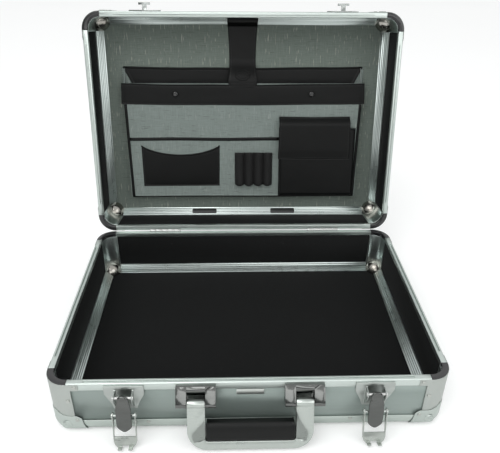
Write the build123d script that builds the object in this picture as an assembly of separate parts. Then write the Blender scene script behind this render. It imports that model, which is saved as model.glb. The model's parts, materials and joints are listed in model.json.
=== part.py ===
from build123d import *
import math
import os

os.makedirs("parts", exist_ok=True)

# An aluminium attache case, in millimetres. +Z is up, +X to the right seen from the front, +Y to the rear.
# The origin is the middle of the base's footprint, on the plane that the corner caps stand on.

# ---- overall sizes
case_width = 455.0
case_depth = 325.0
base_height = 75.0
lid_height = 68.0
parting_gap = 0.3
lid_open_angle = 100.5

# ---- shell layers, counted inwards from the outer face of the corner posts
cap_thickness = 0.6
post_skin = 0.6
strip_thickness = 1.0
panel_thickness = 4.5
lining_thickness = 1.2
rim_lip_thickness = 0.8
large_board_thickness = 3.0
trim_thickness = 1.0

# ---- shell outline
corner_radius = 25.0
edge_radius = 10.0
rim_height = 10.0
rim_web = 2.5
rim_inner_leg = 6.0
rim_joint_reach = 26.0
strip_height = 18.0
strip_end = 32.0
post_reach = 30.0
post_wall = 2.0
fin_thickness = 1.2
tab_reach = 39.0
tab_drop = 1.0
cap_reach = 41.0
cap_height = 26.0
cap_peak = 32.0
trim_size = 11.0
trim_reach = 28.0
flute_depth = 0.5
flute_count = 5
dome_radius = 17.0
dome_wall = 1.0
dome_inset = 12.0

# ---- rim tongue and groove
tongue_inset = 3.6
tongue_width = 1.5
tongue_height = 1.2
tongue_clearance = 0.3
tongue_end = 45.0

# ---- rivets
rivet_radius = 2.3
rivet_height = 0.9
tab_rivet_reach = 35.0
post_rivet_reach = 25.5
cap_rivet_reach = 32.0
cap_rivet_height = 20.0
strip_rivet_x = 116.0
strip_rivet_height = 14.5

# ---- hinges
hinge_x = 125.0
hinge_length = 48.0
hinge_leaf_height = 20.0
hinge_leaf_thickness = 1.2
knuckle_radius = 2.4
knuckle_count = 5
knuckle_gap = 0.2
knuckle_clearance = 0.4
hinge_pin_radius = 1.2
running_clearance = 0.05

# ---- latches, with distances counted outwards from the corner posts' face
latch_x = 139.0
latch_plate_width = 44.0
latch_plate_foot = 26.0
latch_plate_top = 72.0
latch_plate_bottom = 38.0
latch_plate_thickness = 1.5
cheek_thickness = 1.4
lever_width = 17.0
lever_side_gap = 0.7
lever_pivot_out = 9.0
lever_pivot_height = 63.0
lever_length = 42.0
lever_rest_angle = 12.0
lever_pin_radius = 1.5
pin_head_radius = 2.6
pin_head_length = 0.8
hasp_pivot_drop = 22.0
hasp_width = 26.0
hasp_arm_thickness = 1.2
hasp_length = 41.0
hasp_window = 27.0
hasp_plate_out = 2.0
hasp_plate_thickness = 1.6
hasp_notch_width = 7.5
hasp_notch_depth = 3.5
hasp_lip_reach = 5.0
hasp_lip_thickness = 1.8
hasp_swing = 172.0
catch_plate_width = 43.0
catch_plate_height = 14.0
catch_neck_width = 6.0
catch_head_width = 16.0
catch_head_length = 3.0
catch_head_height = 2.4
catch_clearance = 0.3

# ---- handle
handle_x = 60.0
bracket_width = 44.0
bracket_top = 72.0
bracket_foot = 47.0
bracket_plate_thickness = 1.6
handle_pivot_out = 10.0
handle_pivot_height = 54.0
handle_barrel_radius = 5.0
handle_pin_radius = 2.0
handle_width = 140.0
handle_arm_width = 20.0
handle_arm_gap = 0.3
handle_drop = 54.0
handle_bar = 10.0
handle_thickness = 7.0
handle_corner_radius = 22.0
handle_rest_angle = 20.0
grip_length = 88.0
grip_height = 24.0
grip_thickness = 15.0

# ---- nameplate
nameplate_width = 31.0
nameplate_height = 8.0
nameplate_z = 60.0

# ---- organizer; distances along the lid are counted from the hinge line, depths from the fabric board
soft_gap = 0.3
sheet_thickness = 1.2
pocket_half_width = 184.0
pocket_bottom = 41.0
pocket_top = 221.0
pocket_back_top = 245.0
pocket_room = 11.0
band_half_width = 187.0
band_height = 31.0
piping_width = 4.0
lower_binding_low = 133.0
lower_binding_high = 138.0
lower_binding_end = 55.0
card_left = -162.0
card_right = -38.0
card_low = 59.0
card_high = 126.0
card_dip = 15.0
loop_left = -14.0
loop_pitch = 15.0
loop_count = 4
loop_low = 62.0
loop_high = 114.0
loop_radius = 3.8
phone_left = 56.0
phone_right = 178.0
phone_low = 42.0
phone_high = 154.0
phone_room = 9.0
flap_left = 55.0
flap_right = 168.0
flap_low = 105.0
flap_high = 171.0
strap_left = -24.0
strap_right = 21.0
strap_top_gap = 1.5
strap_low = 216.0
strap_lap = 6.0
snap_x = 105.0
snap_drop = 15.0
snap_radius = 5.0
snap_height = 1.6

# ---- rivet covers and spine feet
cover_x = 65.0
cover_width = 40.0
cover_height = 9.0
cover_thickness = 0.8
foot_x = 65.0
foot_width = 40.0
foot_height = 14.0
foot_thickness = 4.0
foot_sink = 1.6

# ---- values that follow
half_width = case_width / 2
half_depth = case_depth / 2
strip_face = post_skin
panel_face = strip_face + strip_thickness
panel_inside = panel_face + panel_thickness
lining_inside = panel_inside + lining_thickness
rim_inside = lining_inside + rim_lip_thickness
board_face = cap_thickness + panel_face
board_inside = board_face + large_board_thickness
floor_height = board_inside + lining_thickness
closed_height = base_height + parting_gap + lid_height
hinge_height = base_height + parting_gap / 2
hinge_axis = Axis((0, half_depth, hinge_height), (-1, 0, 0))
lever_axis = Axis((0, -half_depth - lever_pivot_out, lever_pivot_height), (-1, 0, 0))
hasp_pivot_height = lever_pivot_height - hasp_pivot_drop
hasp_axis = Axis((0, -half_depth - lever_pivot_out, hasp_pivot_height), (-1, 0, 0))
handle_axis = Axis((0, -half_depth - handle_pivot_out, handle_pivot_height), (-1, 0, 0))
strap_high = case_depth - lining_inside - trim_size - strap_top_gap
cheek_inside = lever_width / 2 + lever_side_gap
cheek_outside = cheek_inside + cheek_thickness


def block(x0, x1, y0, y1, z0, z1):
    middle = Pos((x0 + x1) / 2, (y0 + y1) / 2, (z0 + z1) / 2)
    return middle * Box(x1 - x0, y1 - y0, z1 - z0)


def bar_x(radius, x0, x1, y, z):
    return Pos((x0 + x1) / 2, y, z) * Rot(0, 90, 0) * Cylinder(radius, x1 - x0)


def prism_x(points, x0, x1):
    """Extrudes an outline of (y, z) points from x0 to x1."""
    outline = make_face(Polyline(*[(0, y, z) for y, z in points], close=True))
    return Pos(x0, 0, 0) * extrude(outline, x1 - x0, dir=(1, 0, 0))


def prism_y(points, y0, y1):
    """Extrudes an outline of (x, z) points from y0 to y1."""
    outline = make_face(Polyline(*[(x, 0, z) for x, z in points], close=True))
    return Pos(0, y0, 0) * extrude(outline, y1 - y0, dir=(0, 1, 0))


def at_front(out, z):
    """An (out, height) pair as the (y, z) pair of a point in front of the case."""
    return (-half_depth - out, z)


def each_corner(piece):
    """Copies a piece made at the right rear corner to all four corners."""
    right = [piece, mirror(piece, about=Plane.XZ)]
    return right + [mirror(p, about=Plane.YZ) for p in right]


def both_sides(piece):
    return [piece, mirror(piece, about=Plane.YZ)]


def front_and_rear(piece):
    return [piece, mirror(piece, about=Plane.XZ)]


def envelope(inset, top):
    """The case half's rounded outline, moved inwards by inset, from its underside to top."""
    low = cap_thickness + inset
    outline = RectangleRounded(case_width - 2 * inset, case_depth - 2 * inset, corner_radius - inset)
    body = Pos(0, 0, low) * extrude(outline, top - low)
    underside = body.faces().sort_by(Axis.Z)[0]
    return fillet(underside.edges(), edge_radius - inset)


def wall(inset, thickness, z0, z1):
    """An upright band that follows the case's outline."""
    outer = RectangleRounded(case_width - 2 * inset, case_depth - 2 * inset, corner_radius - inset)
    deep = inset + thickness
    inner = RectangleRounded(case_width - 2 * deep, case_depth - 2 * deep, corner_radius - deep)
    return Pos(0, 0, z0) * extrude(outer - inner, z1 - z0)


def corner_zone(reach, z0, z1):
    return block(half_width - reach, half_width + 5, half_depth - reach, half_depth + 5, z0, z1)


# ---- the shell of one half, made standing on its outer face with its rim at the given height


def long_panels(height):
    end = half_width - corner_radius
    low = cap_thickness + edge_radius
    rear = block(-end, end, half_depth - panel_inside, half_depth - panel_face, low, height - rim_web)
    return front_and_rear(rear)


def short_panels(height):
    end = half_depth - corner_radius
    low = cap_thickness + edge_radius
    right = block(half_width - panel_inside, half_width - panel_face, -end, end, low, height - rim_web)
    return both_sides(right)


def large_board():
    x = half_width - edge_radius
    y = half_depth - edge_radius
    board = block(-x, x, -y, y, board_face, board_inside)
    upright = board.edges().filter_by(Axis.Z)
    return fillet(upright, corner_radius - edge_radius)


def rim_profile(height, side):
    """The rim's section as (inset, height) points, mapped to the wall given by side."""
    outer = strip_face
    leg = strip_face + strip_thickness
    points = [
        (outer, height - rim_height),
        (outer, height - strip_thickness),
        (outer + strip_thickness, height),
        (rim_inside - rim_lip_thickness / 2, height),
        (rim_inside, height - rim_lip_thickness / 2),
        (rim_inside, height - rim_inner_leg),
        (lining_inside, height - rim_inner_leg),
        (lining_inside, height - rim_web),
        (leg, height - rim_web),
        (leg, height - rim_height),
    ]
    return [(side - inset, z) for inset, z in points]


def rim_long(height):
    end = half_width - rim_joint_reach
    return prism_x(rim_profile(height, half_depth), -end, end)


def rim_short(height):
    end = half_depth - rim_joint_reach
    return prism_y(rim_profile(height, half_width), -end, end)


def tongue_long(height, clearance):
    end = half_width - tongue_end + clearance
    inner = half_depth - tongue_inset - tongue_width - clearance
    outer = half_depth - tongue_inset + clearance
    return block(-end, end, inner, outer, height - clearance, height + tongue_height + clearance)


def tongue_short(height, clearance):
    end = half_depth - tongue_end + clearance
    inner = half_width - tongue_inset - tongue_width - clearance
    outer = half_width - tongue_inset + clearance
    return block(inner, outer, -end, end, height - clearance, height + tongue_height + clearance)


def groove(height, cutter):
    """Turns a tongue into the room it needs below the rim's face."""
    depth = tongue_height + tongue_clearance
    return Pos(0, 0, -depth) * cutter(height, tongue_clearance)


def hinge_notches(height):
    """Room for the hinge knuckles in a rear rim."""
    radius = knuckle_radius + knuckle_clearance
    half = hinge_length / 2 + knuckle_clearance
    z = height + parting_gap / 2
    right = bar_x(radius, hinge_x - half, hinge_x + half, half_depth, z)
    return both_sides(right)


def rim_front(height):
    return mirror(rim_long(height), about=Plane.XZ)


def rim_rear(height):
    rim = rim_long(height)
    for notch in hinge_notches(height):
        rim = rim - notch
    return rim


def rim_corners(height):
    leg = wall(strip_face, strip_thickness, height - rim_height, height - rim_web)
    web = wall(strip_face, rim_inside - strip_face, height - rim_web, height)
    lip = wall(lining_inside, rim_lip_thickness, height - rim_inner_leg, height - rim_web)
    zone = corner_zone(rim_joint_reach, height - rim_height, height)
    return each_corner((leg + web + lip) & zone)


def edge_strips(long_side):
    """The extrusions that join the large board to the walls."""
    skin = envelope(strip_face, strip_height) - envelope(panel_face, strip_height + 1)
    core = envelope(panel_face, strip_height) - envelope(panel_face + post_wall, strip_height + 1)
    turn = cap_thickness + edge_radius
    if long_side:
        end = half_width - strip_end
        room = block(-end, end, half_depth - strip_height, half_depth, 0, strip_height)
        bend = block(-end, end, half_depth - edge_radius, half_depth, 0, turn)
        foot = block(-end, end, half_depth - panel_inside, half_depth - panel_face, turn - fin_thickness, turn)
        inner = half_depth - edge_radius
        side = block(-end, end, inner, inner + fin_thickness, board_face, board_inside)
    else:
        end = half_depth - strip_end
        room = block(half_width - strip_height, half_width, -end, end, 0, strip_height)
        bend = block(half_width - edge_radius, half_width, -end, end, 0, turn)
        foot = block(half_width - panel_inside, half_width - panel_face, -end, end, turn - fin_thickness, turn)
        inner = half_width - edge_radius
        side = block(inner, inner + fin_thickness, -end, end, board_face, board_inside)
    return (skin & room) + (core & bend) + foot + side


def all_edge_strips():
    return front_and_rear(edge_strips(True)) + both_sides(edge_strips(False))


def corner_posts(height):
    low = cap_thickness + edge_radius
    top = height - rim_height
    zone = corner_zone(post_reach, low, top)
    skin = wall(0, panel_face, low, top) & zone
    bend = corner_zone(corner_radius, low, top)
    core = wall(panel_face, post_wall, low, top) & bend
    x = half_width - corner_radius
    y = half_depth - corner_radius
    rear_fin = block(x, x + fin_thickness, half_depth - panel_inside, half_depth - panel_face, low, top)
    side_fin = block(half_width - panel_inside, half_width - panel_face, y, y + fin_thickness, low, top)
    tab = wall(0, post_skin, top, height - tab_drop) & corner_zone(tab_reach, top, height)
    return each_corner(skin + core + rear_fin + side_fin + tab)


def cap_outline(middle):
    """The corner cap's outline on one face, as (distance from the middle, height) points."""
    points = [
        (5, cap_peak),
        (-6, cap_peak),
        (-12, cap_height + 2),
        (-20, cap_height),
        (-cap_reach + 9, cap_height),
        (-cap_reach + 4, cap_height - 4),
        (-cap_reach + 2.5, cap_height - 13),
        (-cap_reach, 5),
        (-cap_reach, -1),
        (5, -1),
    ]
    return [(middle + away, z) for away, z in points]


def corner_caps():
    shell = envelope(-cap_thickness, cap_peak + 2) - envelope(0, cap_peak + 3)
    from_rear = prism_y(cap_outline(half_width), half_depth - cap_reach - 5, half_depth + 5)
    from_side = prism_x(cap_outline(half_depth), half_width - cap_reach - 5, half_width + 5)
    cap = shell & from_rear & from_side
    return each_corner(cap)


def rivet():
    """A domed rivet head that stands up from the XY plane."""
    head = Cylinder(rivet_radius, rivet_height, align=(Align.CENTER, Align.CENTER, Align.MIN))
    top = head.edges().group_by(Axis.Z)[-1]
    return fillet(top, rivet_height * 0.6)


def rivets(height):
    """Rivet heads on the four walls of a half."""
    head = rivet()
    tab_z = height - rim_height / 2
    post_z = (height - rim_height + cap_height) / 2 + 4
    heads = []
    rear = Rot(-90, 0, 0) * head
    right = Rot(0, 90, 0) * head
    for reach, z, inset in (
        (tab_rivet_reach, tab_z, 0),
        (post_rivet_reach, post_z, 0),
        (cap_rivet_reach, cap_rivet_height, -cap_thickness),
    ):
        heads = heads + each_corner(Pos(half_width - reach, half_depth - inset, z) * rear)
        heads = heads + each_corner(Pos(half_width - inset, half_depth - reach, z) * right)
    strip_head = Pos(strip_rivet_x, half_depth - strip_face, strip_rivet_height) * rear
    heads = heads + each_corner(strip_head)
    side_head = Pos(half_width - strip_face, 0, strip_rivet_height) * right
    return heads + both_sides(side_head)


def trim_profile(side):
    """A hollow fluted strip set across the angle between wall and floor."""
    outer = lining_inside
    face = []
    for i in range(flute_count + 1):
        share = i / flute_count
        face.append((outer + trim_thickness + share * (trim_size - trim_thickness), 1 - share, 0))
        if i < flute_count:
            middle = (i + 0.5) / flute_count
            face.append((outer + trim_thickness + middle * (trim_size - trim_thickness), 1 - middle, 1))
    points = [(outer, floor_height), (outer, floor_height + trim_size)]
    for inset, rise, low in face:
        z = floor_height + trim_thickness + rise * (trim_size - trim_thickness)
        points.append((inset - low * flute_depth, z - low * flute_depth))
    points.append((outer + trim_size, floor_height))
    return [(side - inset, z) for inset, z in points]


def dome_ball(radius):
    return Pos(half_width - dome_inset, half_depth - dome_inset, floor_height) * Sphere(radius)


def floor_trims():
    balls = each_corner(dome_ball(dome_radius))
    end_x = half_width - trim_reach
    end_y = half_depth - trim_reach
    rear = prism_x(trim_profile(half_depth), -end_x, end_x)
    right = prism_y(trim_profile(half_width), -end_y, end_y)
    strips = []
    for strip in front_and_rear(rear) + both_sides(right):
        for ball in balls:
            strip = strip - ball
        strips.append(strip)
    return strips


def corner_trims(height):
    """Upright trim strips that cover the gaps between the wall linings."""
    top = height - rim_inner_leg
    band = wall(lining_inside, trim_thickness, floor_height, top)
    return each_corner(band & corner_zone(trim_reach, floor_height, top))


def inner_domes():
    shell = dome_ball(dome_radius) - dome_ball(dome_radius - dome_wall)
    inside = lining_inside + trim_thickness
    room = RectangleRounded(case_width - 2 * inside, case_depth - 2 * inside, corner_radius - inside)
    room = Pos(0, 0, floor_height) * extrude(room, dome_radius + 1)
    return each_corner(shell & room)


def wall_lining(height):
    end_x = half_width - corner_radius + 3
    end_y = half_depth - corner_radius + 3
    top = height - rim_web
    rear = block(-end_x, end_x, half_depth - lining_inside, half_depth - panel_inside, floor_height, top)
    right = block(half_width - lining_inside, half_width - panel_inside, -end_y, end_y, floor_height, top)
    return front_and_rear(rear) + both_sides(right)


def floor_board():
    x = half_width - panel_inside - edge_radius / 2
    y = half_depth - panel_inside - edge_radius / 2
    sheet = block(-x, x, -y, y, board_inside, floor_height)
    return fillet(sheet.edges().filter_by(Axis.Z), corner_radius - edge_radius)


def spine_feet(height):
    z = height / 2
    face = half_depth + foot_thickness - foot_sink
    pad = block(foot_x - foot_width / 2, foot_x + foot_width / 2, half_depth - panel_face, face,
                z - foot_height / 2, z + foot_height / 2)
    outer = pad.faces().sort_by(Axis.Y)[-1].edges()
    return both_sides(fillet(outer, 1.2))


# ---- hinges


def hinge_segments(lid_side):
    pitch = hinge_length / knuckle_count
    start = hinge_x - hinge_length / 2
    chosen = range(1, knuckle_count, 2) if lid_side else range(0, knuckle_count, 2)
    return [(start + i * pitch + knuckle_gap / 2, start + (i + 1) * pitch - knuckle_gap / 2) for i in chosen]


def hinge_leaf(lid_side):
    """A leaf below the hinge line with its knuckles; the lid's leaf is turned over afterwards."""
    half = hinge_leaf_thickness / 2
    top = hinge_height - knuckle_radius - knuckle_clearance
    low = hinge_height - hinge_leaf_height
    x0 = hinge_x - hinge_length / 2
    x1 = hinge_x + hinge_length / 2
    leaf = block(x0, x1, half_depth - half, half_depth + half, low, top)
    seat_top = hinge_height - parting_gap / 2 - rim_height
    leaf = leaf + block(x0, x1, half_depth - panel_face, half_depth - half, low, seat_top)
    for a, b in hinge_segments(lid_side):
        leaf = leaf + block(a, b, half_depth - half, half_depth + half, top, hinge_height)
        leaf = leaf + bar_x(knuckle_radius, a, b, half_depth, hinge_height)
    bore = hinge_pin_radius + (running_clearance if lid_side else 0)
    leaf = leaf - bar_x(bore, x0 - 1, x1 + 1, half_depth, hinge_height)
    if lid_side:
        leaf = Pos(0, 0, 2 * hinge_height) * mirror(leaf, about=Plane.XY)
    return both_sides(leaf)


def hinge_pins():
    half = hinge_length / 2
    return both_sides(bar_x(hinge_pin_radius, hinge_x - half, hinge_x + half, half_depth, hinge_height))


# ---- latches, made shut at the middle of the case


def latch_plate():
    wide = latch_plate_width / 2
    foot = latch_plate_foot / 2
    outline = [
        (-wide, latch_plate_top),
        (-wide, latch_plate_top - 12),
        (-foot - 2, latch_plate_bottom + 8),
        (-foot, latch_plate_bottom),
        (foot, latch_plate_bottom),
        (foot + 2, latch_plate_bottom + 8),
        (wide, latch_plate_top - 12),
        (wide, latch_plate_top),
    ]
    face = -half_depth + strip_face
    plate = prism_y(outline, face - latch_plate_thickness, face)
    seat = block(-wide, wide, face - 0.1, -half_depth + panel_face, 0, base_height - rim_height)
    seat = seat & prism_y(outline, face - 1, face + panel_face)
    cheek_points = [
        at_front(0.5, 66.5),
        at_front(8, 66.5),
        at_front(12, 65),
        at_front(12.5, 61),
        at_front(9, 52),
        at_front(4, 44),
        at_front(0.5, 42),
    ]
    body = plate + seat
    for side in (-1, 1):
        a, b = sorted((side * cheek_inside, side * cheek_outside))
        body = body + prism_x(cheek_points, a, b)
    y, z = at_front(lever_pivot_out, lever_pivot_height)
    return body - bar_x(lever_pin_radius, -cheek_outside - 1, cheek_outside + 1, y, z)


def lever_pin():
    y, z = at_front(lever_pivot_out, lever_pivot_height)
    pin = bar_x(lever_pin_radius, -cheek_outside, cheek_outside, y, z)
    for side in (-1, 1):
        a, b = sorted((side * cheek_outside, side * (cheek_outside + pin_head_length)))
        pin = pin + bar_x(pin_head_radius, a, b, y, z)
    return pin


def latch_lever():
    tip = lever_pivot_height - lever_length
    outline = [
        at_front(6.2, lever_pivot_height + 1),
        at_front(7.4, lever_pivot_height + 3),
        at_front(10, lever_pivot_height + 3.4),
        at_front(12.3, lever_pivot_height + 1.5),
        at_front(13.2, lever_pivot_height - 5),
        at_front(13.2, lever_pivot_height - 18),
        at_front(12.4, lever_pivot_height - 29),
        at_front(11.2, tip + 2),
        at_front(9.8, tip),
        at_front(8.8, tip + 0.8),
        at_front(9.4, tip + 10),
        at_front(7.0, hasp_pivot_height - 2),
        at_front(6.6, hasp_pivot_height + 2),
        at_front(9.6, hasp_pivot_height + 7),
        at_front(9.0, lever_pivot_height - 4),
        at_front(6.6, lever_pivot_height - 2.4),
    ]
    half = lever_width / 2
    body = prism_x(outline, -half, half)
    sides = [
        (-half + 2.2, lever_pivot_height + 4),
        (-half + 1.8, lever_pivot_height - 4),
        (-half, lever_pivot_height - 14),
        (-half, tip + 8),
        (-half + 2.5, tip + 2.5),
        (-half + 6.0, tip - 1),
        (half - 6.0, tip - 1),
        (half - 2.5, tip + 2.5),
        (half, tip + 8),
        (half, lever_pivot_height - 14),
        (half - 1.8, lever_pivot_height - 4),
        (half - 2.2, lever_pivot_height + 4),
    ]
    body = body & prism_y(sides, -half_depth - 20, -half_depth)
    hub_y, hub_z = at_front(lever_pivot_out, lever_pivot_height)
    body = body + bar_x(3.2, -half, half, hub_y, hub_z)
    y, z = at_front(lever_pivot_out, hasp_pivot_height)
    body = body - bar_x(lever_pin_radius + running_clearance, -half - 1, half + 1, hub_y, hub_z)
    return body - bar_x(lever_pin_radius, -half - 1, half + 1, y, z)


def hasp_pin():
    half = hasp_width / 2
    y, z = at_front(lever_pivot_out, hasp_pivot_height)
    pin = bar_x(lever_pin_radius, -half, half, y, z)
    for side in (-1, 1):
        a, b = sorted((side * half, side * (half + pin_head_length)))
        pin = pin + bar_x(pin_head_radius, a, b, y, z)
    return pin


def latch_hasp():
    """The hasp standing up, as when the latch is shut."""
    half = hasp_width / 2
    tip = hasp_pivot_height + hasp_length
    out0 = lever_pivot_out + hasp_plate_out
    out1 = out0 + hasp_plate_thickness
    start = hasp_pivot_height + hasp_window
    outline = [
        (-half, start),
        (-half, tip - 9),
        (-half + 1.5, tip - 4),
        (-half + 4.5, tip - 0.8),
        (-half + 7.0, tip),
        (half - 7.0, tip),
        (half - 4.5, tip - 0.8),
        (half - 1.5, tip - 4),
        (half, tip - 9),
        (half, start),
    ]
    plate = prism_y(outline, -half_depth - out1, -half_depth - out0)
    lip = block(-half + 5, half - 5, -half_depth - out0, -half_depth - out0 + hasp_lip_reach,
                tip - hasp_lip_thickness, tip)
    arm_points = [
        at_front(lever_pivot_out - 3.2, hasp_pivot_height + 1),
        at_front(lever_pivot_out - 3.2, hasp_pivot_height - 1),
        at_front(lever_pivot_out - 1.4, hasp_pivot_height - 3.2),
        at_front(lever_pivot_out + 1.6, hasp_pivot_height - 3.2),
        at_front(out1, hasp_pivot_height - 1),
        at_front(out1, start + 6),
        at_front(out0, start + 6),
        at_front(out0 - 2.4, hasp_pivot_height + 16),
    ]
    body = plate + lip
    for side in (-1, 1):
        a, b = sorted((side * half, side * (half - hasp_arm_thickness)))
        body = body + prism_x(arm_points, a, b)
    notch = hasp_notch_width / 2
    body = body - block(-notch, notch, -half_depth - out1 - 1, -half_depth - out0 + hasp_lip_reach + 1,
                        tip - hasp_notch_depth, tip + 1)
    y, z = at_front(lever_pivot_out, hasp_pivot_height)
    return body - bar_x(lever_pin_radius + running_clearance, -half - 1, half + 1, y, z)


def lid_catch():
    """The catch on the lid's front wall, for a shut lid."""
    half = catch_plate_width / 2
    low = base_height + parting_gap + 1.5
    face = -half_depth + strip_face
    plate = block(-half, half, face - latch_plate_thickness, face, low, low + catch_plate_height)
    plate = fillet(plate.edges().filter_by(Axis.Y).group_by(Axis.Z)[-1], 4)
    seat_low = base_height + parting_gap + rim_height
    seat = block(-half + 5, half - 5, face, -half_depth + panel_face, seat_low, low + catch_plate_height)
    top = hasp_pivot_height + hasp_length - hasp_lip_thickness - catch_clearance
    out = lever_pivot_out + hasp_plate_out - catch_clearance
    neck = block(-catch_neck_width / 2, catch_neck_width / 2, -half_depth - out, face, top - catch_head_height, top)
    head = block(-catch_head_width / 2, catch_head_width / 2, -half_depth - out,
                 -half_depth - out + catch_head_length, top - catch_head_height, top)
    return plate + seat + neck + head


def to_lever_rest(piece):
    return piece.rotate(lever_axis, lever_rest_angle)


def to_hasp_rest(piece):
    return to_lever_rest(piece.rotate(hasp_axis, -hasp_swing))


# ---- handle, made hanging straight down


def handle_bracket():
    half = bracket_width / 2
    gap = handle_arm_width / 2 + handle_arm_gap
    face = -half_depth + strip_face
    plate = block(-half, half, face - bracket_plate_thickness, face, bracket_foot, bracket_top)
    seat = block(-half, half, face, -half_depth + panel_face, bracket_foot, base_height - rim_height)
    y, z = at_front(handle_pivot_out, handle_pivot_height)
    shoulder_points = [
        at_front(0.5, bracket_top),
        at_front(3, bracket_top),
        at_front(6, bracket_top - 4),
        at_front(handle_pivot_out + handle_barrel_radius - 0.6, handle_pivot_height + 2.5),
        at_front(handle_pivot_out, handle_pivot_height),
        at_front(handle_pivot_out - 2, handle_pivot_height - handle_barrel_radius + 0.5),
        at_front(0.5, bracket_foot),
    ]
    body = plate + seat
    for side in (-1, 1):
        a, b = sorted((side * gap, side * half))
        body = body + prism_x(shoulder_points, a, b) + bar_x(handle_barrel_radius, a, b, y, z)
    bridge = [
        at_front(0.5, bracket_top),
        at_front(3, bracket_top),
        at_front(5, bracket_top - 3),
        at_front(5, bracket_top - 7),
        at_front(0.5, bracket_top - 9),
    ]
    body = body + prism_x(bridge, -half, half)
    return body - bar_x(handle_pin_radius, -half - 1, half + 1, y, z)


def handle_pin():
    half = bracket_width / 2
    y, z = at_front(handle_pivot_out, handle_pivot_height)
    return bar_x(handle_pin_radius, -half, half, y, z)


def handle_frame():
    half = handle_width / 2
    top = handle_pivot_height
    low = handle_pivot_height - handle_drop
    outer = block(-half, half, -half_depth - handle_pivot_out - handle_thickness / 2,
                  -half_depth - handle_pivot_out + handle_thickness / 2, low, top)
    lower_corners = outer.edges().filter_by(Axis.Y).group_by(Axis.Z)[0]
    outer = fillet(lower_corners, handle_corner_radius)
    inner_half = half - handle_arm_width
    y = -half_depth - handle_pivot_out
    inner = block(-inner_half, inner_half, y - 10, y + 10, low + handle_bar, top + 1)
    inner_corners = inner.edges().filter_by(Axis.Y).group_by(Axis.Z)[0]
    frame = outer - fillet(inner_corners, 4)
    for side in (-1, 1):
        a, b = sorted((side * inner_half, side * half))
        frame = frame + bar_x(handle_barrel_radius, a, b, y, top)
    return frame - bar_x(handle_pin_radius + running_clearance, -half - 1, half + 1, y, top)


def handle_grip():
    y = -half_depth - handle_pivot_out
    low = handle_pivot_height - handle_drop + handle_bar
    grip = block(-grip_length / 2, grip_length / 2, y - grip_thickness / 2, y + grip_thickness / 2,
                 low, low + grip_height)
    return fillet(grip.edges().filter_by(Axis.X), 5)


def to_handle_rest(piece):
    return piece.rotate(handle_axis, handle_rest_angle)


def nameplate():
    half = nameplate_width / 2
    face = -half_depth + panel_face
    plate = block(-half, half, face - 1, face, nameplate_z - nameplate_height / 2, nameplate_z + nameplate_height / 2)
    return fillet(plate.edges().filter_by(Axis.Y), 1)


# ---- organizer, made on the lid while the lid stands on its outer face

front_depth = floor_height + sheet_thickness + pocket_room
front_face = front_depth + sheet_thickness


def lid_sheet(x0, x1, along0, along1, depth0, depth1):
    return block(x0, x1, half_depth - along1, half_depth - along0, depth0, depth1)


def lid_prism(points, x0, x1):
    """Extrudes an outline of (distance along the lid, depth) points from x0 to x1."""
    return prism_x([(half_depth - along, depth) for along, depth in points], x0, x1)


def file_pocket_back():
    side = pocket_half_width - sheet_thickness
    return lid_sheet(-side, side, pocket_bottom, pocket_back_top, floor_height, floor_height + sheet_thickness)


def file_pocket_gussets():
    """Side gussets that taper into the back sheet above the front, and the bottom strip."""
    low = floor_height + sheet_thickness
    outline = [
        (pocket_bottom, low),
        (pocket_back_top, low),
        (pocket_top, front_depth),
        (pocket_bottom, front_depth),
    ]
    right = lid_prism(outline, pocket_half_width - 2 * sheet_thickness, pocket_half_width - sheet_thickness)
    side = pocket_half_width - 2 * sheet_thickness
    floor = lid_sheet(-side, side, pocket_bottom, pocket_bottom + sheet_thickness, low, front_depth)
    return both_sides(right) + [floor]


def file_pocket_front():
    return lid_sheet(-pocket_half_width, pocket_half_width, pocket_bottom, pocket_top, front_depth, front_face)


def pocket_binding():
    """The wide band along the pocket's mouth, the piping down its sides and the lower binding."""
    thick = front_face + sheet_thickness
    band_low = pocket_top - band_height
    band = lid_sheet(-band_half_width, band_half_width, band_low, pocket_top + 1, front_face, thick)
    x = pocket_half_width
    piping = lid_sheet(x - piping_width, x, pocket_bottom, band_low, front_face, thick)
    lower = lid_sheet(-x + piping_width, lower_binding_end, lower_binding_low, lower_binding_high, front_face, thick)
    return [band] + both_sides(piping) + [lower]


def pocket_snaps():
    z = front_face + sheet_thickness
    y = half_depth - pocket_top + snap_drop
    button = Cylinder(snap_radius, snap_height, align=(Align.CENTER, Align.CENTER, Align.MIN))
    button = fillet(button.edges().group_by(Axis.Z)[-1], 1.0)
    return both_sides(Pos(snap_x, y, z) * button)


def card_pocket():
    sheet = lid_sheet(card_left, card_right, card_low, card_high, front_face, front_face + sheet_thickness)
    half = (card_right - card_left) / 2
    radius = (half * half + card_dip * card_dip) / (2 * card_dip)
    y = half_depth - card_high - radius + card_dip
    scoop = Pos((card_left + card_right) / 2, y, front_face) * Cylinder(radius, 10)
    return sheet - scoop


def pen_loops():
    outer = loop_radius + sheet_thickness
    length = loop_high - loop_low
    middle_y = half_depth - (loop_low + loop_high) / 2
    right = loop_left + loop_count * loop_pitch
    body = lid_sheet(loop_left, right, loop_low, loop_high, front_face, front_face + sheet_thickness)
    above = lid_sheet(loop_left, right, loop_low, loop_high, front_face, front_face + 20)
    for i in range(loop_count):
        x = loop_left + (i + 0.5) * loop_pitch
        tube = Pos(x, middle_y, front_face) * Rot(90, 0, 0) * Cylinder(outer, length)
        body = body + (tube & above)
    for i in range(loop_count):
        x = loop_left + (i + 0.5) * loop_pitch
        body = body - Pos(x, middle_y, front_face) * Rot(90, 0, 0) * Cylinder(loop_radius, length + 2)
    return body


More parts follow.
